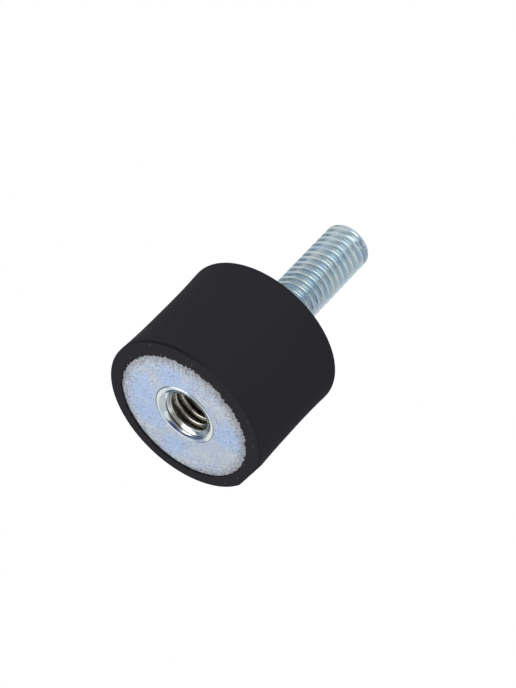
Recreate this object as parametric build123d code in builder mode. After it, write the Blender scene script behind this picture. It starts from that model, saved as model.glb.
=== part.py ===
from build123d import *
from math import radians, tan
import os

# Bobbin vibration mount: a waisted rubber cylinder vulcanised onto a steel plate at each end.
# The socket plate carries a blind threaded bush, the stud plate a threaded stud.
# The Z axis is the bobbin's own axis, z = 0 is the socket end and the stud points to +Z.
# All sizes are in millimetres. The M6 threads are plain cylinders here.

# Rubber body
body_diameter = 20.0
body_height = 15.0
waist_diameter = 19.66
flare_diameter = 19.84  # where the flank starts to turn outward to the rim
flare_height = 1.8
rim_band = 0.4  # the straight band at each rim
rim_edge_chamfer = 0.15
lip_diameter = 16.5  # inner edge of the rubber that laps over each plate
lip_thickness = 0.15

# Steel plates, the same blank at both ends
plate_diameter = 17.5
plate_thickness = 1.5
plate_edge_chamfer = 0.3

# Threaded bush: its neck fills the plate's hole and is swaged out into a countersink
neck_diameter = 7.0
swage_diameter = 7.94
swage_depth = 0.6
bush_diameter = 9.0
bush_bottom = 8.4
bush_corner = 0.4
bore_diameter = 5.0  # M6 tapping size
mouth_diameter = 7.5  # where the bell mouth leaves the flat swaged end
mouth_depth = 1.4
bore_end = 6.8
drill_tip_angle = 118

# Stud: a round head behind the plate, a collar through it, then the shank
stud_length = 18.0
shank_diameter = 5.9  # over the crests of a rolled M6 thread
collar_diameter = 6.6
stud_head_diameter = 9.0
stud_head_thickness = 1.5
stud_head_corner = 0.3
tip_chamfer = 0.4

# Heights of the faces that the pieces share
socket_face = lip_thickness
socket_plate_back = socket_face + plate_thickness
mouth_end = socket_face + mouth_depth
drill_tip = bore_end + bore_diameter / 2 / tan(radians(drill_tip_angle / 2))
stud_face = body_height - lip_thickness
stud_plate_back = stud_face - plate_thickness
stud_head_back = stud_plate_back - stud_head_thickness
stud_tip = body_height + stud_length

# Radii used in the profiles
rim_radius = body_diameter / 2
lip_radius = lip_diameter / 2
plate_radius = plate_diameter / 2
neck_radius = neck_diameter / 2
swage_radius = swage_diameter / 2
bush_radius = bush_diameter / 2
bore_radius = bore_diameter / 2
mouth_radius = mouth_diameter / 2
shank_radius = shank_diameter / 2
collar_radius = collar_diameter / 2
head_radius = stud_head_diameter / 2

os.makedirs("parts", exist_ok=True)

# Socket plate: a blanked disc with broken edges, its hole countersunk on the outer face
with BuildPart() as socket_plate:
    with BuildSketch(Plane.XY.offset(socket_face)):
        Circle(plate_radius)
    extrude(amount=plate_thickness)
    chamfer(socket_plate.edges().filter_by(GeomType.CIRCLE), plate_edge_chamfer)
    with BuildSketch(Plane.XZ):
        with BuildLine():
            Polyline(
                (0, socket_face),
                (swage_radius, socket_face),
                (neck_radius, socket_face + swage_depth),
                (neck_radius, socket_plate_back),
                (0, socket_plate_back),
                close=True,
            )
        make_face()
    revolve(axis=Axis.Z, mode=Mode.SUBTRACT)
socket_plate.part.label = "socket_plate"

# Threaded bush: turned with a shoulder behind the plate, a blind bore and a bell mouth.
# The mouth is a quarter ellipse, so it runs smoothly from the flat end into the bore.
with BuildPart() as threaded_bush:
    with BuildSketch(Plane.XZ):
        with BuildLine():
            Polyline(
                (mouth_radius, socket_face),
                (swage_radius, socket_face),
                (neck_radius, socket_face + swage_depth),
                (neck_radius, socket_plate_back),
                (bush_radius, socket_plate_back),
                (bush_radius, bush_bottom),
                (0, bush_bottom),
                (0, drill_tip),
                (bore_radius, bore_end),
                (bore_radius, mouth_end),
            )
            EllipticalCenterArc(
                (mouth_radius, mouth_end),
                mouth_radius - bore_radius,
                mouth_depth,
                start_angle=180,
                arc_size=90,
            )
        make_face()
    revolve(axis=Axis.Z)
    back_rim = threaded_bush.edges().filter_by(GeomType.CIRCLE).sort_by(Axis.Z)[-1]
    chamfer(back_rim, bush_corner)
threaded_bush.part.label = "threaded_bush"

# Stud plate: the same disc with a plain hole for the stud's collar
with BuildPart() as stud_plate:
    with BuildSketch(Plane.XY.offset(stud_plate_back)):
        Circle(plate_radius)
    extrude(amount=plate_thickness)
    chamfer(stud_plate.edges().filter_by(GeomType.CIRCLE), plate_edge_chamfer)
    with BuildSketch(Plane.XY.offset(stud_plate_back)):
        Circle(collar_radius)
    extrude(amount=plate_thickness, mode=Mode.SUBTRACT)
stud_plate.part.label = "stud_plate"

# Stud: head, collar and shank turned in one, with a chamfered tip
with BuildPart() as stud:
    with BuildSketch(Plane.XY.offset(stud_head_back)):
        Circle(head_radius)
    extrude(amount=stud_head_thickness)
    chamfer(stud.edges().filter_by(GeomType.CIRCLE).sort_by(Axis.Z)[0], stud_head_corner)
    with BuildSketch(Plane.XY.offset(stud_plate_back)):
        Circle(collar_radius)
    extrude(amount=plate_thickness)
    with BuildSketch(Plane.XY.offset(stud_face)):
        Circle(shank_radius)
    extrude(amount=stud_tip - stud_face)
    chamfer(stud.edges().filter_by(GeomType.CIRCLE).sort_by(Axis.Z)[-1], tip_chamfer)
stud.part.label = "stud"

# Rubber body: one moulding with a waisted flank. It wraps the rim of each plate, laps a thin
# lip over its outer face, and fills the space between and around the bush and the stud's head.
with BuildPart() as rubber_body:
    with BuildSketch(Plane.XZ):
        with BuildLine():
            flank = Spline(
                (rim_radius, rim_band),
                (flare_diameter / 2, flare_height),
                (waist_diameter / 2, body_height / 2),
                (flare_diameter / 2, body_height - flare_height),
                (rim_radius, body_height - rim_band),
            )
            Polyline(
                flank @ 1,
                (rim_radius, body_height),
                (0, body_height),
                (0, 0),
                (rim_radius, 0),
                flank @ 0,
            )
        make_face()
    revolve(axis=Axis.Z)
    end_rims = rubber_body.faces().filter_by(Axis.Z).edges()
    chamfer(end_rims, rim_edge_chamfer)
    # The end faces are sunk inside the lips
    with BuildSketch(Plane.XY, Plane.XY.offset(stud_face)):
        Circle(lip_radius)
    extrude(amount=lip_thickness, mode=Mode.SUBTRACT)
    # The steel pieces leave their own shapes, and the bush keeps the rubber out of its bore
    add(socket_plate.part, mode=Mode.SUBTRACT)
    add(threaded_bush.part, mode=Mode.SUBTRACT)
    with BuildSketch(Plane.XY):
        Circle(swage_radius)
    extrude(amount=bush_bottom, mode=Mode.SUBTRACT)
    add(stud_plate.part, mode=Mode.SUBTRACT)
    add(stud.part, mode=Mode.SUBTRACT)
rubber_body.part.label = "rubber_body"

export_step(socket_plate.part, "parts/socket_plate.step")
export_step(threaded_bush.part, "parts/threaded_bush.step")
export_step(stud_plate.part, "parts/stud_plate.step")
export_step(stud.part, "parts/stud.step")
export_step(rubber_body.part, "parts/rubber_body.step")
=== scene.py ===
from math import atan2, cos, radians, sin, tau

import bpy
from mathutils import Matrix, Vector, noise


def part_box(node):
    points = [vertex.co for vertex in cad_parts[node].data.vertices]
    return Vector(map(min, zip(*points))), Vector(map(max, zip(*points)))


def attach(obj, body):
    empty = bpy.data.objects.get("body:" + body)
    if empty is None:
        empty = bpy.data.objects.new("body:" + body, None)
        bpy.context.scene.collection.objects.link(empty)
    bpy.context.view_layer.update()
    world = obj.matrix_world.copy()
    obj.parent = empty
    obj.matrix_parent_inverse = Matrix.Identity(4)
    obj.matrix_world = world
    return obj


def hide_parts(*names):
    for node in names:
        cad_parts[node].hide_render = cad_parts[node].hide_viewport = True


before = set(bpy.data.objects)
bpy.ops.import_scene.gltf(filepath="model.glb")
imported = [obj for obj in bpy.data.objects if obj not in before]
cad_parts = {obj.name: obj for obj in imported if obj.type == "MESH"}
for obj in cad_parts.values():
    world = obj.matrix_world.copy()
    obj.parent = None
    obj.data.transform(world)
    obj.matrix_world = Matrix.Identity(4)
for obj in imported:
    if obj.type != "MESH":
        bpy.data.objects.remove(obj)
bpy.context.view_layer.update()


# Camera: it stands below the socket end and looks up at it, rolled so that the stud points up
# and to the right. The long lens keeps the perspective as mild as in a product picture.
MM = 0.001
camera_place = (0.46 * MM, -209.86 * MM, -131.23 * MM)
camera_turn = (radians(133.70), radians(-34.65), radians(-28.51))
bpy.ops.object.camera_add(location=camera_place, rotation=camera_turn)
camera = bpy.context.object
camera.data.lens = 118.6
camera.data.clip_start = 0.01
bpy.context.scene.camera = camera


# Studio: a white surround, a soft lamp beside the camera and another over it, and white, grey and
# blue cards of the kind set up beside bright metal, which only its reflections show. The pale floor
# under the socket end is one-sided, like tracing film, and can be looked through from underneath.
def linear(hex_colour):
    """An sRGB hex colour as linear RGBA."""
    channels = [int(hex_colour[i : i + 2], 16) / 255 for i in (1, 3, 5)]
    curve = [c / 12.92 if c <= 0.04045 else ((c + 0.055) / 1.055) ** 2.4 for c in channels]
    return (*curve, 1.0)


def add_node(tree, kind, settings=None, links=None):
    """Adds a shader node, sets its properties and sockets by name, and links sockets to its inputs."""
    made = tree.nodes.new("ShaderNode" + kind)
    for name, value in (settings or {}).items():
        if isinstance(name, int) or name in made.inputs:
            made.inputs[name].default_value = value
        else:
            setattr(made, name, value)
    for name, source in (links or {}).items():
        tree.links.new(source, made.inputs[name])
    return made


def new_material(name):
    """An empty node material, with its node tree."""
    made = bpy.data.materials.new(name)
    made.use_nodes = True
    made.node_tree.nodes.clear()
    return made, made.node_tree


bpy.context.scene.view_settings.view_transform = "Standard"
world = bpy.data.worlds.new("white_studio")
bpy.context.scene.world = world
world.use_nodes = True
tree = world.node_tree
tree.nodes.clear()
# White to the eye and in the metal, and a little lower as the light on the mount
path = add_node(tree, "LightPath")
seen = add_node(tree, "Math", {"operation": "MAXIMUM"},
                {0: path.outputs["Is Camera Ray"], 1: path.outputs["Is Glossy Ray"]})
seen = add_node(tree, "Math", {"operation": "MAXIMUM"},
                {0: seen.outputs[0], 1: path.outputs["Is Transmission Ray"]})
strength = add_node(tree, "MapRange", {"To Min": 0.74, "To Max": 1.0}, {"Value": seen.outputs[0]})
sky = add_node(tree, "Background", {"Color": (1, 1, 1, 1)}, {"Strength": strength.outputs[0]})
add_node(tree, "OutputWorld", {}, {"Surface": sky.outputs[0]})


mount_middle = (0, 0, 12 * MM)
bush_mouth = (1.9 * MM, 2.3 * MM, 0.3 * MM)
far = 0.5


def facing(aim, direction, distance):
    """Place and turn of a lamp or card that faces a point from a direction and distance."""
    way = Vector(direction).normalized()
    return Vector(aim) + distance * way, way.to_track_quat("Z", "Y").to_euler()


for name, direction, width, height, watts, reflected in (
    ("lamp_beside_camera", (-0.72, -0.36, -0.59), 0.22, 0.22, 0.50, False),
    ("lamp_over_camera", (-0.079, -0.90, 0.43), 0.36, 0.48, 0.80, True),
):
    place, turned = facing(mount_middle, direction, far)
    bpy.ops.object.light_add(type="AREA", location=place, rotation=turned)
    lamp = bpy.context.object
    lamp.name = name
    lamp.visible_camera = False
    lamp.visible_glossy = reflected
    lamp.data.shape = "RECTANGLE"
    lamp.data.size = width
    lamp.data.size_y = height
    lamp.data.energy = watts

for name, direction, distance, aim, width, height, colour, strength in (
    ("grey_card_by_socket", (-0.06, -0.21, -0.97), 0.034, bush_mouth, 0.028, 0.026, "#9C9A9A", 1.0),
    ("dark_card_by_socket", (-0.075, 0.354, -0.931), 0.033, bush_mouth, 0.008, 0.019, "#38427C", 1.0),
    ("dark_card_low", (0.0, 0.97, -0.22), far, mount_middle, 0.34, 0.16, "#4E5A68", 1.0),
    ("dark_strip_below", (-0.13, 0.43, -0.89), far, mount_middle, 0.26, 0.14, "#1A2344", 1.0),
    ("pale_card_below", (0.58, 0.51, -0.63), far, mount_middle, 0.50, 0.40, "#D4D8DE", 1.0),
    ("grey_card_behind", (-0.55, 0.70, -0.30), far, mount_middle, 0.36, 0.36, "#A6B0BC", 1.0),
    ("blue_card_right", (0.385, -0.756, 0.53), far, mount_middle, 0.23, 0.50, "#7FA2BE", 1.0),
    ("pale_card_right", (0.85, 0.15, 0.50), far, mount_middle, 0.80, 0.40, "#ACB4C4", 1.0),
    ("grey_card_below", (-0.50, 0.54, -0.68), far, mount_middle, 0.36, 0.26, "#808CA0", 1.0),
    ("grey_card_left", (-0.78, 0.33, 0.53), far, mount_middle, 0.24, 0.30, "#98A2AC", 1.0),
    ("pale_card_left", (-0.70, -0.48, 0.53), far, mount_middle, 0.30, 0.24, "#9EA8B2", 1.0),
    ("grey_card_above", (-0.02, 0.48, 0.88), far, mount_middle, 0.40, 0.24, "#7C8BA8", 1.0),
    ("white_card_by_socket", (-0.62, 0.06, -0.78), 0.032, bush_mouth, 0.020, 0.024, "#FFFFFF", 2.4),
):
    place, turned = facing(aim, direction, distance)
    bpy.ops.mesh.primitive_plane_add(size=1.0, location=place, rotation=turned)
    card = bpy.context.object
    card.name = name
    card.scale = (width, height, 1.0)
    card.visible_camera = False
    card.visible_diffuse = False
    card.visible_transmission = False
    card.visible_shadow = False
    material, tree = new_material(name)
    cloth = add_node(tree, "Emission", {"Color": linear(colour), "Strength": strength})
    add_node(tree, "OutputMaterial", {}, {"Surface": cloth.outputs[0]})
    card.data.materials.append(material)

clear_of_rim = 0.05 * MM
bpy.ops.mesh.primitive_plane_add(size=3.0, location=(0, 0, -clear_of_rim))
floor = bpy.context.object
floor.name = "floor"
floor.visible_diffuse = False
floor.visible_glossy = False
floor.visible_transmission = False
floor.visible_shadow = False
material, tree = new_material("white_paper")
side = add_node(tree, "NewGeometry")
paper = add_node(tree, "BsdfDiffuse", {"Color": linear("#F4F4F4")})
clear = add_node(tree, "BsdfTransparent")
sheet = add_node(tree, "MixShader", {},
                 {0: side.outputs["Backfacing"], 1: paper.outputs[0], 2: clear.outputs[0]})
add_node(tree, "OutputMaterial", {}, {"Surface": sheet.outputs[0]})
floor.data.materials.append(material)


# Plates: two blanked steel discs with bright zinc plate and a bluish passivate. Vulcanising has
# left them hazy and finely pitted, and a torn film of rubber clings to the margin by the lip.
plate_face, plate_back = (corner.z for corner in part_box("socket_plate"))
stud_plate_back, stud_plate_face = (corner.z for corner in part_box("stud_plate"))
lip_radius = 8.25 * MM
to_mm = (1 / MM, 1 / MM, 1 / MM)
to_mm_flat = (1 / MM, 1 / MM, 0)
patch_sway = 4.0


def zinc_plate_material(name, face_height, blue_patches):
    """Zinc on blanked steel: blue (x, y, radius) patches on pale grey, all in mm, with dark pits."""
    made, tree = new_material(name)
    place = add_node(tree, "TexCoord")
    in_mm = add_node(tree, "Mapping", {"Scale": to_mm}, {"Vector": place.outputs["Object"]})
    # Passivate: patches a few millimetres wide. The noise makes their outlines wavy, by moving each
    # point up to patch_sway along X and Y, and half of that on average
    waves = add_node(tree, "TexNoise", {"Scale": 0.45, "Detail": 3.0, "Roughness": 0.55},
                     {"Vector": in_mm.outputs[0]})
    warped = add_node(tree, "VectorMath",
                      {"operation": "MULTIPLY_ADD", 1: (patch_sway, patch_sway, 0.0)},
                      {0: waves.outputs["Color"], 2: in_mm.outputs[0]})
    blue = None
    for x, y, radius in blue_patches:
        middle = (x + patch_sway / 2, y + patch_sway / 2, face_height)
        away = add_node(tree, "VectorMath", {"operation": "DISTANCE", 1: middle},
                        {0: warped.outputs[0]})
        patch = add_node(tree, "MapRange",
                         {"interpolation_type": "SMOOTHSTEP", "From Min": 1.7 * radius,
                          "From Max": 0.4 * radius}, {"Value": away.outputs["Value"]})
        if blue is not None:
            patch = add_node(tree, "Math", {"operation": "MAXIMUM"},
                             {0: patch.outputs[0], 1: blue.outputs[0]})
        blue = patch
    greys = add_node(tree, "ValToRGB", {}, {"Fac": waves.outputs["Fac"]})
    greys.color_ramp.elements[0].position = 0.38
    greys.color_ramp.elements[0].color = linear("#C4D1E4")
    greys.color_ramp.elements[1].position = 0.62
    greys.color_ramp.elements[1].color = linear("#D4DBE4")
    tint = add_node(tree, "Mix", {"data_type": "RGBA", 7: linear("#BED3F3")},
                    {0: blue.outputs[0], 6: greys.outputs["Color"]})
    # Torn rubber film: whitish and grey streaks that point to the axis, in the last millimetre,
    # which reach further in at the -Y side, with painted shade from the lip at their outer ends
    flat = add_node(tree, "Mapping", {"Scale": to_mm_flat}, {"Vector": place.outputs["Object"]})
    radius = add_node(tree, "VectorMath", {"operation": "LENGTH"}, {0: flat.outputs[0]})
    aim = add_node(tree, "VectorMath", {"operation": "NORMALIZE"}, {0: flat.outputs[0]})
    outward = add_node(tree, "CombineXYZ", {}, {"Z": radius.outputs["Value"]})
    rays = add_node(tree, "VectorMath", {"operation": "MULTIPLY_ADD", 1: (lip_radius / MM,) * 3},
                    {0: aim.outputs[0], 2: outward.outputs[0]})
    streaks = add_node(tree, "TexNoise", {"Scale": 2.6, "Detail": 4.0, "Roughness": 0.72},
                       {"Vector": rays.outputs[0]})
    reach = add_node(tree, "Math", {"operation": "MULTIPLY_ADD", 1: 3.6, 2: -1.8},
                     {0: streaks.outputs["Fac"]})
    film_line = add_node(tree, "Math", {"operation": "ADD"},
                         {0: reach.outputs[0], 1: radius.outputs["Value"]})
    side = add_node(tree, "SeparateXYZ", {}, {0: aim.outputs[0]})
    film_line = add_node(tree, "Math", {"operation": "MULTIPLY_ADD", 1: -0.6},
                         {0: side.outputs["Y"], 2: film_line.outputs[0]})
    film = add_node(tree, "MapRange", {"From Min": 7.2, "From Max": 8.1, "To Max": 0.8},
                    {"Value": film_line.outputs[0]})
    film_tint = add_node(tree, "ValToRGB", {}, {"Fac": streaks.outputs["Fac"]})
    film_tint.color_ramp.elements[0].position = 0.42
    film_tint.color_ramp.elements[0].color = linear("#C6C8CD")
    film_tint.color_ramp.elements[1].position = 0.72
    film_tint.color_ramp.elements[1].color = linear("#7F7D82")
    filmed = add_node(tree, "Mix", {"data_type": "RGBA"},
                      {0: film.outputs[0], 6: tint.outputs[2], 7: film_tint.outputs["Color"]})
    # Painted shade: the margin darkens towards the lip, furthest in at the -Y side
    shade_by_lip = add_node(tree, "MapRange", {"From Min": 7.3, "From Max": 8.8, "To Max": 0.38},
                     {"Value": film_line.outputs[0]})
    filmed = add_node(tree, "Mix", {"data_type": "RGBA", 7: linear("#6E6F73")},
                      {0: shade_by_lip.outputs[0], 6: filmed.outputs[2]})
    # Grain of the pickled surface. The real one is finer, and is drawn 0.2 mm wide so that it shows
    grain = add_node(tree, "TexNoise", {"Scale": 4.5, "Detail": 4.0, "Roughness": 0.75},
                     {"Vector": in_mm.outputs[0]})
    # Pits up to 0.15 mm across, in some of the cells of a 0.3 mm pattern, their edges uneven
    cells = add_node(tree, "TexVoronoi", {"Scale": 3.4}, {"Vector": in_mm.outputs[0]})
    chance = add_node(tree, "SeparateColor", {}, {"Color": cells.outputs["Color"]})
    wide = add_node(tree, "MapRange", {"From Min": 0.72, "From Max": 1.0, "To Max": 0.45},
                    {"Value": chance.outputs[0]})
    uneven = add_node(tree, "Math", {"operation": "MULTIPLY"},
                      {0: wide.outputs[0], 1: grain.outputs["Fac"]})
    hollow = add_node(tree, "Math", {"operation": "SUBTRACT"},
                      {0: uneven.outputs[0], 1: cells.outputs["Distance"]})
    pits = add_node(tree, "MapRange", {"From Min": -0.05, "From Max": 0.08, "To Max": 0.9},
                    {"Value": hollow.outputs[0]})
    pitted = add_node(tree, "Mix", {"data_type": "RGBA", 7: linear("#6C7682")},
                      {0: pits.outputs[0], 6: filmed.outputs[2]})
    # Dark specks about 0.15 mm across, in clusters that are thickest by the lip
    specks = add_node(tree, "TexVoronoi", {"Scale": 5.5}, {"Vector": in_mm.outputs[0]})
    odds = add_node(tree, "SeparateColor", {}, {"Color": specks.outputs["Color"]})
    clusters = add_node(tree, "TexNoise", {"Scale": 0.7, "Detail": 3.0},
                        {"Vector": in_mm.outputs[0]})
    thick = add_node(tree, "MapRange",
                     {"From Min": 4.5, "From Max": 8.0, "To Min": -0.16, "To Max": 0.05},
                     {"Value": radius.outputs["Value"]})
    chance = add_node(tree, "Math", {"operation": "MULTIPLY_ADD", 1: 0.8},
                      {0: clusters.outputs["Fac"], 2: odds.outputs[0]})
    chance = add_node(tree, "Math", {"operation": "ADD"}, {0: chance.outputs[0], 1: thick.outputs[0]})
    likely = add_node(tree, "MapRange", {"From Min": 1.06, "From Max": 1.30, "To Max": 0.48},
                      {"Value": chance.outputs[0]})
    spot = add_node(tree, "Math", {"operation": "SUBTRACT"},
                    {0: likely.outputs[0], 1: specks.outputs["Distance"]})
    dark = add_node(tree, "MapRange", {"From Max": 0.12, "To Max": 0.75}, {"Value": spot.outputs[0]})
    specked = add_node(tree, "Mix", {"data_type": "RGBA", 7: linear("#57544F")},
                       {0: dark.outputs[0], 6: pitted.outputs[2]})
    grain_tint = add_node(tree, "MapRange",
                          {"From Min": 0.36, "From Max": 0.64, "To Min": 0.78, "To Max": 1.18},
                          {"Value": grain.outputs["Fac"]})
    grained = add_node(tree, "VectorMath", {"operation": "SCALE"},
                       {0: specked.outputs[2], 3: grain_tint.outputs[0]})
    relief = add_node(tree, "Math", {"operation": "SUBTRACT"},
                      {0: grain.outputs["Fac"], 1: pits.outputs[0]})
    bump = add_node(tree, "Bump", {"Strength": 0.6, "Distance": 0.02 * MM},
                    {"Height": relief.outputs[0]})
    rough = add_node(tree, "MapRange", {"To Min": 0.42, "To Max": 0.62},
                     {"Value": grain.outputs["Fac"]})
    skin = add_node(tree, "BsdfPrincipled", {"Metallic": 0.45},
                    {"Base Color": grained.outputs[0], "Roughness": rough.outputs[0],
                     "Normal": bump.outputs[0]})
    add_node(tree, "OutputMaterial", {}, {"Surface": skin.outputs[0]})
    return made


def give(node, material):
    """Puts a material on a carried-over CAD node."""
    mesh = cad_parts[node].data
    mesh.materials.clear()
    mesh.materials.append(material)


give("socket_plate", zinc_plate_material("zinc_plate_socket", plate_face / MM, [
    (-5.2, 1.9, 1.9), (-3.4, 4.8, 2.0), (-3.8, -3.6, 1.8), (5.3, -2.6, 1.8), (1.6, 6.0, 1.6)]))
give("stud_plate", zinc_plate_material("zinc_plate_stud", stud_plate_face / MM, [
    (5.0, 2.5, 2.2), (-2.5, 5.4, 1.9), (-5.0, -2.8, 2.0), (2.2, -5.6, 2.1)]))


# Threaded bush: a turned steel bush, its neck swaged into the plate. It is turned here from a
# blank, with its bell mouth and blind bore, and then tapped M6.
bush_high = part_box("threaded_bush")[1]
bush_radius = bush_high.x
shoulder_chamfer = 0.4 * MM
bore_radius = 2.5 * MM
bore_end = 6.8 * MM
drill_tip = 8.3 * MM
drill_tip_radius = 0.02 * MM
mouth_radius = 3.75 * MM
mouth_depth = 1.05 * MM
mouth_steps = 12
neck_radius = 3.5 * MM
swage_radius = 3.97 * MM
swage_depth = 0.6 * MM
groove_root = 3.08 * MM
pitch = 1.0 * MM
tap_start = plate_face - 0.84 * MM
tap_turns = 8


def turn(name, profile, steps):
    """Turns a solid: a disc at the first (radius, height), extruded through all the others."""
    bpy.ops.object.select_all(action="DESELECT")
    radius, height = profile[0]
    bpy.ops.mesh.primitive_circle_add(vertices=steps, radius=radius, fill_type="NGON",
                                      location=(0, 0, height))
    made = bpy.context.object
    made.name = name
    bpy.ops.object.transform_apply(location=True)
    bpy.ops.object.mode_set(mode="EDIT")
    bpy.ops.mesh.select_all(action="SELECT")
    for next_radius, next_height in profile[1:]:
        bpy.ops.mesh.extrude_region_move(
            TRANSFORM_OT_translate={"value": (0, 0, next_height - height)})
        ratio = next_radius / radius
        bpy.ops.transform.resize(value=(ratio, ratio, 1), center_override=(0, 0, 0))
        radius, height = next_radius, next_height
    bpy.ops.mesh.select_all(action="SELECT")
    bpy.ops.mesh.normals_make_consistent(inside=False)
    bpy.ops.object.mode_set(mode="OBJECT")
    return made


def thread_cutter(name, half_section, start, turns):
    """A right-handed coil. Its section, listed from root to crest, is (radius, half of its width)."""
    section = [(radius, -half) for radius, half in half_section]
    section += [(radius, half) for radius, half in reversed(half_section) if half > 0]
    bpy.ops.object.select_all(action="DESELECT")
    bpy.ops.mesh.primitive_circle_add(vertices=len(section), radius=MM)
    made = bpy.context.object
    made.name = name
    for corner, (radius, height) in zip(made.data.vertices, section):
        corner.co = (radius, 0, height + start)
    coil = made.modifiers.new("coil", "SCREW")
    coil.axis = "Z"
    coil.angle = tau
    coil.screw_offset = pitch
    coil.iterations = turns
    coil.steps = 96
    coil.render_steps = 96
    bpy.ops.object.modifier_apply(modifier="coil")
    bpy.ops.object.mode_set(mode="EDIT")
    bpy.ops.mesh.select_all(action="DESELECT")
    bpy.ops.mesh.select_non_manifold()
    bpy.ops.mesh.edge_face_add()
    bpy.ops.mesh.select_all(action="SELECT")
    bpy.ops.mesh.normals_make_consistent(inside=False)
    bpy.ops.object.mode_set(mode="OBJECT")
    return made


def cut(piece, cutter):
    """Cuts one solid out of another and throws the cutter away."""
    bpy.ops.object.select_all(action="DESELECT")
    bpy.context.view_layer.objects.active = piece
    piece.select_set(True)
    chip = piece.modifiers.new("cut", "BOOLEAN")
    chip.operation = "DIFFERENCE"
    chip.solver = "EXACT"
    chip.object = cutter
    bpy.ops.object.modifier_apply(modifier="cut")
    bpy.data.objects.remove(cutter)


def smooth(piece, degrees):
    """Smooth shading, with the edges sharper than the given angle kept crisp."""
    bpy.ops.object.select_all(action="DESELECT")
    bpy.context.view_layer.objects.active = piece
    piece.select_set(True)
    bpy.ops.object.shade_smooth_by_angle(angle=radians(degrees))


mouth_angles = [radians(90 * i / mouth_steps) for i in range(mouth_steps + 1)]
mouth = [
    (mouth_radius - (mouth_radius - bore_radius) * cos(a), plate_face + mouth_depth * (1 - sin(a)))
    for a in mouth_angles
]
rolled_edge = [
    (swage_radius - inward * MM, plate_face + above * MM)
    for inward, above in ((0.14, 0.02), (0.07, 0.07), (0.02, 0.15))
]
bush = turn("bush", [
    (drill_tip_radius, drill_tip),
    (bore_radius, bore_end),
    *mouth,
    *rolled_edge,
    (neck_radius, plate_face + swage_depth),
    (neck_radius, plate_back),
    (bush_radius, plate_back),
    (bush_radius, bush_high.z - shoulder_chamfer),
    (bush_radius - shoulder_chamfer, bush_high.z),
], steps=128)

# The tap starts outside the face, so that its groove runs out into the mouth
cut(bush, thread_cutter("tap", [
    (groove_root, 0.05 * MM),
    (groove_root - 0.04 * MM, 0.1 * MM),
    (bore_radius + 0.07 * MM, 0.33 * MM),
    (bore_radius, 0.40 * MM),
    (bore_radius - 0.1 * MM, 0.46 * MM),
], tap_start, tap_turns))
smooth(bush, 30)

# Bright turned zinc on the mouth and the crests. The plating thins out in the tapped grooves, which
# stay dull and brown, and are painted darker still as shade deep in the bore.
material, tree = new_material("turned_zinc_steel")
place = add_node(tree, "TexCoord")
in_mm = add_node(tree, "Mapping", {"Scale": to_mm}, {"Vector": place.outputs["Object"]})
flat = add_node(tree, "Mapping", {"Scale": to_mm_flat}, {"Vector": place.outputs["Object"]})
radius = add_node(tree, "VectorMath", {"operation": "LENGTH"}, {0: flat.outputs[0]})
height = add_node(tree, "SeparateXYZ", {}, {0: in_mm.outputs[0]})
clouds = add_node(tree, "TexNoise", {"Scale": 0.5, "Detail": 2.0}, {"Vector": in_mm.outputs[0]})
bright = add_node(tree, "ValToRGB", {}, {"Fac": clouds.outputs["Fac"]})
bright.color_ramp.elements[0].position = 0.38
bright.color_ramp.elements[0].color = linear("#CEDAE4")
bright.color_ramp.elements[1].position = 0.60
bright.color_ramp.elements[1].color = linear("#DFE4DE")
depth = add_node(tree, "MapRange",
                 {"interpolation_type": "SMOOTHSTEP", "From Min": 0.78, "From Max": 1.20},
                 {"Value": height.outputs["Z"]})
grain = add_node(tree, "TexNoise", {"Scale": 5.0, "Detail": 4.0, "Roughness": 0.7},
                 {"Vector": in_mm.outputs[0]})
dull_and_shaded = add_node(tree, "ValToRGB", {}, {"Fac": grain.outputs["Fac"]})
dull_and_shaded.color_ramp.elements[0].position = 0.40
dull_and_shaded.color_ramp.elements[0].color = linear("#4C4841")
dull_and_shaded.color_ramp.elements[1].position = 0.65
dull_and_shaded.color_ramp.elements[1].color = linear("#ABA597")
# Grooves darker than the crests: thin plating, and painted shade between the crests
groove = add_node(tree, "MapRange", {"From Min": 2.51, "From Max": 2.62},
                  {"Value": radius.outputs["Value"]})
tapped_and_shaded = add_node(tree, "Mix", {"data_type": "RGBA", 6: linear("#D2CEC6")},
                  {0: groove.outputs[0], 7: dull_and_shaded.outputs["Color"]})
plating = add_node(tree, "Mix", {"data_type": "RGBA"},
                   {0: depth.outputs[0], 6: bright.outputs["Color"], 7: tapped_and_shaded.outputs[2]})
# Painted shade in the bottom of the groove where it runs out into the mouth, but not at the +X side
groove_shade = add_node(tree, "MapRange", {"From Min": 2.90, "From Max": 3.02},
                  {"Value": radius.outputs["Value"]})
below_face = add_node(tree, "MapRange", {"From Min": 0.40, "From Max": 0.48, "To Max": 0.85},
                      {"Value": height.outputs["Z"]})
groove_shade = add_node(tree, "Math", {"operation": "MULTIPLY"},
                  {0: groove_shade.outputs[0], 1: below_face.outputs[0]})
one_side = add_node(tree, "MapRange", {"From Min": 1.2, "From Max": 0.4},
                    {"Value": height.outputs["X"]})
groove_shade = add_node(tree, "Math", {"operation": "MULTIPLY"},
                  {0: groove_shade.outputs[0], 1: one_side.outputs[0]})
plating = add_node(tree, "Mix", {"data_type": "RGBA", 7: linear("#3A3A38")},
                   {0: groove_shade.outputs[0], 6: plating.outputs[2]})
# A painted reflection: a bluer patch at the +X side of the mouth
blue = add_node(tree, "VectorMath", {"operation": "DISTANCE", 1: (3.3, 1.7, 0.2)},
                {0: in_mm.outputs[0]})
blue = add_node(tree, "MapRange", {"From Min": 1.4, "From Max": 0.5, "To Max": 0.75},
                {"Value": blue.outputs["Value"]})
plating = add_node(tree, "Mix", {"data_type": "RGBA", 7: linear("#8797B0")},
                   {0: blue.outputs[0], 6: plating.outputs[2]})
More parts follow.
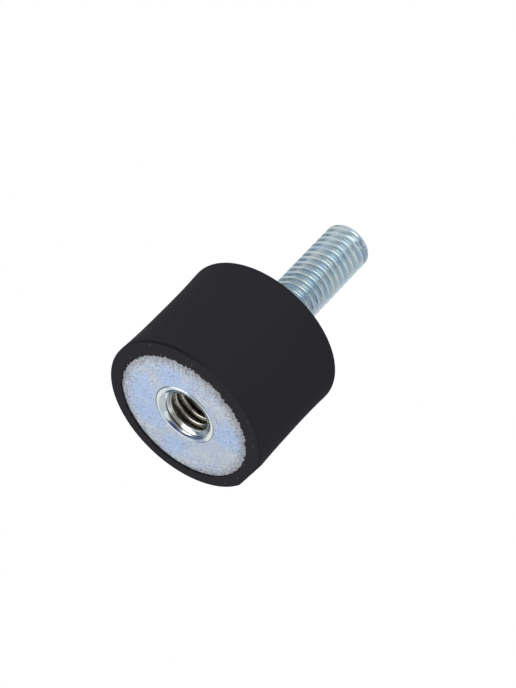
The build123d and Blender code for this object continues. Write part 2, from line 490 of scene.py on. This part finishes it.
# Dirt in the seam round the swaged neck
seam_line = add_node(tree, "MapRange", {"From Min": 3.83, "From Max": 3.89, "To Max": 0.8},
                     {"Value": radius.outputs["Value"]})
dirty = add_node(tree, "Mix", {"data_type": "RGBA", 7: linear("#59625F")},
                 {0: seam_line.outputs[0], 6: plating.outputs[2]})
# Tool marks 0.2 mm apart run round the mouth, and the tapped flanks are torn
marks = add_node(tree, "CombineXYZ", {}, {"X": radius.outputs["Value"], "Y": height.outputs["Z"]})
tooled = add_node(tree, "TexNoise", {"Scale": 5.0, "Detail": 3.0}, {"Vector": marks.outputs[0]})
torn = add_node(tree, "Mix", {"data_type": "FLOAT"},
                {0: depth.outputs[0], 2: tooled.outputs["Fac"], 3: grain.outputs["Fac"]})
relief = add_node(tree, "MapRange", {"To Min": 0.34, "To Max": 0.5}, {"Value": depth.outputs[0]})
bump = add_node(tree, "Bump", {"Distance": 0.03 * MM},
                {"Strength": relief.outputs[0], "Height": torn.outputs[0]})
rough = add_node(tree, "MapRange", {"To Min": 0.14, "To Max": 0.22}, {"Value": depth.outputs[0]})
skin = add_node(tree, "BsdfPrincipled", {"Metallic": 1.0},
                {"Base Color": dirty.outputs[2], "Roughness": rough.outputs[0],
                 "Normal": bump.outputs[0]})
add_node(tree, "OutputMaterial", {}, {"Surface": skin.outputs[0]})
bush.data.materials.append(material)
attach(bush, "root")
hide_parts("threaded_bush")


# Stud: cold-headed steel with a rolled M6 thread, zinc plated with a bluish passivate. The head
# and the collar sit in the rubber and the plate. The thread fades out at both of its ends.
stud_low, stud_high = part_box("stud")
head_radius = stud_high.x
head_chamfer = 0.3 * MM
collar_radius = 3.3 * MM
crest_radius = 2.95 * MM
root_radius = 2.40 * MM
nose_length = 0.45 * MM
thread_start = stud_plate_face + 1.38 * MM
thread_turns = 17
last_full_turn = stud_high.z - 1.1 * MM
fade_in = 0.8 * MM
fade_out = 0.4 * MM
nose = [
    (crest_radius - inward * nose_length, stud_high.z - down * nose_length)
    for inward, down in ((0, 1), (0.14, 0.62), (0.42, 0.25), (0.9, 0))
]
stud = turn("threaded_stud", [
    (head_radius - head_chamfer, stud_low.z),
    (head_radius, stud_low.z + head_chamfer),
    (head_radius, stud_plate_back),
    (collar_radius, stud_plate_back),
    (collar_radius, stud_plate_face),
    (crest_radius, stud_plate_face),
    *nose,
], steps=128)
die = thread_cutter("die", [
    (root_radius, 0.0),
    (root_radius + 0.03 * MM, 0.07 * MM),
    (root_radius + 0.11 * MM, 0.13 * MM),
    (crest_radius - 0.20 * MM, 0.27 * MM),
    (crest_radius - 0.11 * MM, 0.34 * MM),
    (crest_radius - 0.045 * MM, 0.405 * MM),
    (crest_radius - 0.01 * MM, 0.455 * MM),
    (crest_radius + 0.10 * MM, 0.49 * MM),
], thread_start, thread_turns)

# At both ends the die's turns widen by this share until they clear the stud, so the groove fades
clear_of_stud = 0.27
for corner in die.data.vertices:
    turn_height = thread_start + pitch * (atan2(corner.co.y, corner.co.x) % tau) / tau
    turn_height += pitch * round((corner.co.z - turn_height) / pitch)
    past = max((turn_height - last_full_turn) / fade_out,
               1 - (turn_height - thread_start) / fade_in)
    corner.co.xy *= 1 + clear_of_stud * min(max(past, 0), 1)
cut(stud, die)
smooth(stud, 30)

# Bright zinc, paler and bluer by turns. Rolling has left streaks 0.2 mm wide round the stud,
# handling has nicked it, and the bottoms of the grooves are darker with dirt and painted shade.
material, tree = new_material("rolled_zinc_steel")
place = add_node(tree, "TexCoord")
in_mm = add_node(tree, "Mapping", {"Scale": to_mm}, {"Vector": place.outputs["Object"]})
around = add_node(tree, "Mapping", {"Scale": (0.7 / MM, 0.7 / MM, 5 / MM)},
                  {"Vector": place.outputs["Object"]})
clouds = add_node(tree, "TexNoise", {"Scale": 0.8, "Detail": 2.5}, {"Vector": in_mm.outputs[0]})
tint = add_node(tree, "ValToRGB", {}, {"Fac": clouds.outputs["Fac"]})
tint.color_ramp.elements[0].position = 0.34
tint.color_ramp.elements[0].color = linear("#B0C2D0")
tint.color_ramp.elements[1].position = 0.68
tint.color_ramp.elements[1].color = linear("#BFC8D3")
for position, colour in ((0.45, "#B5C8D1"), (0.53, "#BACBCE"), (0.60, "#C1CBCE")):
    tint.color_ramp.elements.new(position).color = linear(colour)
streaks = add_node(tree, "TexNoise", {"Scale": 1.0, "Detail": 3.0, "Roughness": 0.6},
                   {"Vector": around.outputs[0]})
grain = add_node(tree, "TexNoise", {"Scale": 4.0, "Detail": 3.0, "Roughness": 0.65},
                 {"Vector": in_mm.outputs[0]})
flat = add_node(tree, "Mapping", {"Scale": to_mm_flat}, {"Vector": place.outputs["Object"]})
radius = add_node(tree, "VectorMath", {"operation": "LENGTH"}, {0: flat.outputs[0]})
# Dirt and painted shade: darker towards the bottoms of the grooves
root = add_node(tree, "MapRange", {"From Min": 2.55, "From Max": 2.42, "To Max": 0.35},
                {"Value": radius.outputs["Value"]})
root_dirt_and_shade = add_node(tree, "Mix", {"data_type": "RGBA", 7: linear("#6F7D86")},
                  {0: root.outputs[0], 6: tint.outputs["Color"]})
rough = add_node(tree, "MapRange", {"To Min": 0.16, "To Max": 0.36},
                 {"Value": streaks.outputs["Fac"]})
relief = add_node(tree, "Math", {"operation": "ADD"},
                  {0: streaks.outputs["Fac"], 1: grain.outputs["Fac"]})
bump = add_node(tree, "Bump", {"Strength": 0.15, "Distance": 0.03 * MM},
                {"Height": relief.outputs[0]})
skin = add_node(tree, "BsdfPrincipled", {"Metallic": 1.0},
                {"Base Color": root_dirt_and_shade.outputs[2], "Roughness": rough.outputs[0],
                 "Normal": bump.outputs[0]})
add_node(tree, "OutputMaterial", {}, {"Surface": skin.outputs[0]})
stud.data.materials.append(material)
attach(stud, "root")
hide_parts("stud")


# Rubber body: black natural rubber, moulded on and round the four steel pieces. The flank is
# slightly waisted, and the thin lip over each plate ends in a torn, ragged edge.
body_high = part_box("rubber_body")[1]
rim_radius = body_high.x
top = body_high.z
plate_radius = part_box("socket_plate")[1].x
plate_chamfer = 0.3 * MM
waist_radius = 9.83 * MM
flank_steps = 24
flare = 2.9
rim_band = 0.4 * MM
rim_round = 0.15 * MM
lip_round = 0.04 * MM
end_face_ring = lip_radius + 0.8 * MM


def flank_radius(height):
    """Radius of the flank: full width at the rim bands, smallest at mid-height."""
    away = abs(height - top / 2) / (top / 2 - rim_band)
    return waist_radius + (rim_radius - waist_radius) * min(away, 1.0) ** flare


flank = [rim_band + (top - 2 * rim_band) * i / flank_steps for i in range(flank_steps + 1)]
corner_angles = [radians(22.5 * i) for i in range(5)]
# So many steps round that the torn lips can have teeth 0.05 mm wide
rubber = turn("rubber", [
    (bush_radius - shoulder_chamfer, bush_high.z),
    (bush_radius, bush_high.z - shoulder_chamfer),
    (bush_radius, plate_back),
    (plate_radius - plate_chamfer, plate_back),
    (plate_radius, plate_back - plate_chamfer),
    (plate_radius, plate_face + plate_chamfer),
    (plate_radius - plate_chamfer, plate_face),
    (lip_radius, plate_face),
    (lip_radius, lip_round),
    (lip_radius + lip_round, 0),
    (end_face_ring, 0),
    *[(rim_radius - rim_round * (1 - sin(a)), rim_round * (1 - cos(a))) for a in corner_angles],
    *[(flank_radius(h), h) for h in flank],
    *[(rim_radius - rim_round * (1 - cos(a)), top - rim_round * (1 - sin(a)))
      for a in corner_angles],
    (end_face_ring, top),
    (lip_radius + lip_round, top),
    (lip_radius, top - lip_round),
    (lip_radius, stud_plate_face),
    (plate_radius - plate_chamfer, stud_plate_face),
    (plate_radius, stud_plate_face - plate_chamfer),
    (plate_radius, stud_plate_back + plate_chamfer),
    (plate_radius - plate_chamfer, stud_plate_back),
    (head_radius, stud_plate_back),
    (head_radius, stud_low.z + head_chamfer),
    (head_radius - head_chamfer, stud_low.z),
], steps=1080)

# The lips are torn along their inner edges, most at the -Y side, and their openings are a little
# wide and sit towards +Y. The tear is a sum of noises, each with its waves a millimetre and weight,
# and the far lip takes them from another height.
tear_waves = ((1.3, 0.7), (3.3, 1.0), (6.7, 0.9), (9.9, 0.6))
tear_size = 0.21 * MM
less_at_plus_y = 0.10 * MM
longest_tongue = 0.40 * MM
deepest_notch = 0.17 * MM
wider = 0.10 * MM
shift = 0.27 * MM
stretch = 0.12 * MM
far_lip_height = 40
tolerance = 0.001 * MM
for corner in rubber.data.vertices:
    x, y, z = corner.co
    out = (x * x + y * y) ** 0.5
    on_lip = z <= plate_face + tolerance or z >= stud_plate_face - tolerance
    if on_lip and abs(out - lip_radius) < 1.5 * lip_round:
        side = y / out
        spot = Vector((x / MM, y / MM, far_lip_height if z > top / 2 else 0))
        tear = sum(weight * noise.noise(waves * spot) for waves, weight in tear_waves)
        tear *= tear_size - less_at_plus_y * side
        opening = wider + shift * side + stretch * side ** 2
        corner.co.xy *= 1 + (opening + min(max(tear, -longest_tongue), deepest_notch)) / out

# Mould flash has been trimmed off the socket-end rim at the +X side, which left a small flat
trim_place = 9.68 * MM
trim_slope = 0.1
trim_height = 2.2 * MM
for corner in rubber.data.vertices:
    if corner.co.z < trim_height:
        corner.co.x = min(corner.co.x, trim_place + trim_slope * corner.co.z)
smooth(rubber, 40)

# Matt black. The end faces have a trace of bloom and a few light specks. The rims are blackest at
# the -X -Y side of the socket end, and the flank has a painted highlight, a pale patch, by them.
material, tree = new_material("moulded_black_rubber")
place = add_node(tree, "TexCoord")
in_mm = add_node(tree, "Mapping", {"Scale": to_mm}, {"Vector": place.outputs["Object"]})
height = add_node(tree, "SeparateXYZ", {}, {0: in_mm.outputs[0]})
from_middle = add_node(tree, "Math", {"operation": "SUBTRACT", 1: top / 2 / MM},
                       {0: height.outputs["Z"]})
from_middle = add_node(tree, "Math", {"operation": "ABSOLUTE"}, {0: from_middle.outputs[0]})
end_face = add_node(tree, "MapRange", {"From Min": 7.40, "From Max": 7.49},
                    {"Value": from_middle.outputs[0]})
clouds = add_node(tree, "TexNoise", {"Scale": 0.7, "Detail": 3.0}, {"Vector": in_mm.outputs[0]})
black = add_node(tree, "ValToRGB", {}, {"Fac": clouds.outputs["Fac"]})
black.color_ramp.elements[0].position = 0.3
black.color_ramp.elements[0].color = linear("#28272C")
black.color_ramp.elements[1].position = 0.7
black.color_ramp.elements[1].color = linear("#29282D")
rim_line = add_node(tree, "MapRange", {"From Min": 6.9, "From Max": 7.25},
                    {"Value": from_middle.outputs[0]})
near = add_node(tree, "VectorMath", {"operation": "DISTANCE", 1: (-7.6, -6.4, 0.3)},
                {0: in_mm.outputs[0]})
near = add_node(tree, "MapRange",
                {"From Min": 7.5, "From Max": 3.5, "To Min": 0.1, "To Max": 0.85},
                {"Value": near.outputs["Value"]})
rim_line = add_node(tree, "Math", {"operation": "MULTIPLY"},
                    {0: rim_line.outputs[0], 1: near.outputs[0]})
rimmed = add_node(tree, "Mix", {"data_type": "RGBA", 7: linear("#19181C")},
                  {0: rim_line.outputs[0], 6: black.outputs["Color"]})
# Painted highlight: a pale patch on the flank by the socket-end rim
painted_sheen = add_node(tree, "VectorMath", {"operation": "DISTANCE", 1: (-9.6, -2.6, 2.2)},
                 {0: in_mm.outputs[0]})
painted_sheen = add_node(tree, "MapRange", {"From Min": 1.7, "From Max": 0.2, "To Max": 0.4},
                 {"Value": painted_sheen.outputs["Value"]})
rimmed = add_node(tree, "Mix", {"data_type": "RGBA", 7: linear("#3B3B40")},
                  {0: painted_sheen.outputs[0], 6: rimmed.outputs[2]})
bloom = add_node(tree, "Mix", {"data_type": "RGBA", 7: linear("#302F34")},
                 {0: end_face.outputs[0], 6: rimmed.outputs[2]})
cells = add_node(tree, "TexVoronoi", {"Scale": 1.3}, {"Vector": in_mm.outputs[0]})
chance = add_node(tree, "SeparateColor", {}, {"Color": cells.outputs["Color"]})
chosen = add_node(tree, "Math", {"operation": "GREATER_THAN", 1: 0.72}, {0: chance.outputs[0]})
dot = add_node(tree, "MapRange", {"From Min": 0.13, "From Max": 0.07, "To Max": 0.6},
               {"Value": cells.outputs["Distance"]})
specks = add_node(tree, "Math", {"operation": "MULTIPLY"},
                  {0: chosen.outputs[0], 1: dot.outputs[0]})
specks = add_node(tree, "Math", {"operation": "MULTIPLY"},
                  {0: specks.outputs[0], 1: end_face.outputs[0]})
specked = add_node(tree, "Mix", {"data_type": "RGBA", 7: linear("#8B8A90")},
                   {0: specks.outputs[0], 6: bloom.outputs[2]})
texture = add_node(tree, "TexNoise", {"Scale": 5.0, "Detail": 3.0, "Roughness": 0.6},
                   {"Vector": in_mm.outputs[0]})
bump = add_node(tree, "Bump", {"Strength": 0.35, "Distance": 0.02 * MM},
                {"Height": texture.outputs["Fac"]})
rough = add_node(tree, "MapRange", {"To Min": 0.62, "To Max": 0.82},
                 {"Value": texture.outputs["Fac"]})
skin = add_node(tree, "BsdfPrincipled", {"Specular IOR Level": 0.02},
                {"Base Color": specked.outputs[2], "Roughness": rough.outputs[0],
                 "Normal": bump.outputs[0]})
add_node(tree, "OutputMaterial", {}, {"Surface": skin.outputs[0]})
rubber.data.materials.append(material)
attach(rubber, "root")
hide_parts("rubber_body")
